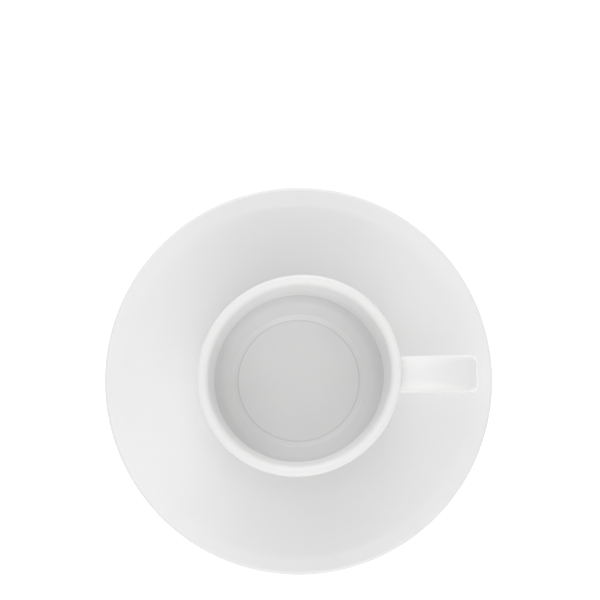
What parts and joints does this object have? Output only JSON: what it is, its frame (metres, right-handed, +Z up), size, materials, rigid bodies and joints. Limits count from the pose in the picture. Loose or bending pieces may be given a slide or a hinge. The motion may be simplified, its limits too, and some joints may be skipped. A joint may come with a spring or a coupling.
{
  "type": "espresso cup with saucer",
  "caption": "Lightly waisted espresso cup with a flared lip and a flat strap handle, standing in the well of a round saucer with a low flared flank, in plain white glazed porcelain.",
  "frame": {"origin": "on the saucer's axis, at the bottom of its foot ring", "axes": "+Z up along the axis of saucer and cup, +X along the cup's handle, +Y to the left of someone looking along the handle"},
  "size_m": [0.12, 0.12, 0.06],
  "materials": {
    "saucer_glaze": "clear gloss glaze over white porcelain",
    "cup_glaze": "clear gloss glaze over white porcelain",
    "handle_glaze": "clear gloss glaze over white porcelain"
  },
  "bodies": {
    "saucer": {"saucer": "saucer_glaze"},
    "cup": {"cup_body": "cup_glaze", "cup_handle": "handle_glaze"}
  },
  "joints": [
    {"name": "cup_lift", "type": "slide", "parent": "saucer", "child": "cup", "axis": [0, 0, 1], "range_m": [0, 0.08]}
  ]
}
